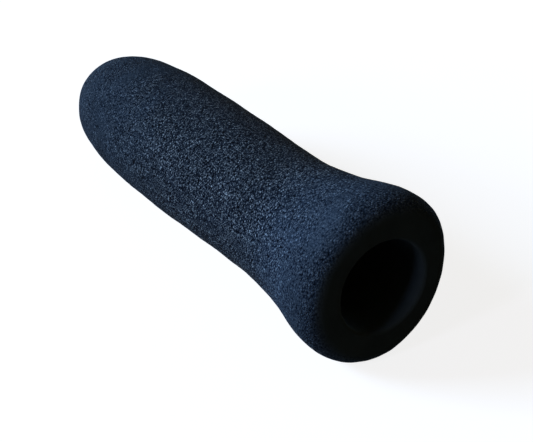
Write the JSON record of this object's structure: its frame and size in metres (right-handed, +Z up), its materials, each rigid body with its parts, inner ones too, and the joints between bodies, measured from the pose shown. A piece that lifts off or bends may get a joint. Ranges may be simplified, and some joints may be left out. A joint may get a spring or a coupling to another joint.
{
  "type": "foam grip",
  "caption": "Soft foam handlebar grip: a barrel swelled under the palm, a flared mouth with a round blind bore for the bar, and a closed, domed end.",
  "frame": {"origin": "on the surface that the grip lies on, under the centre of its bounding box", "axes": "+Z up; +X along the grip towards its flared mouth, which looks up by 1.6 degrees because the grip lies on its flare and its palm swell; the domed end is towards -X"},
  "size_m": [0.1338, 0.0378, 0.0387],
  "materials": {
    "foam": "matte sanded foam skin with a fine pebbled grain, black with a cool blue cast"
  },
  "bodies": {
    "root": {"foam_grip": "foam"}
  },
  "joints": []
}
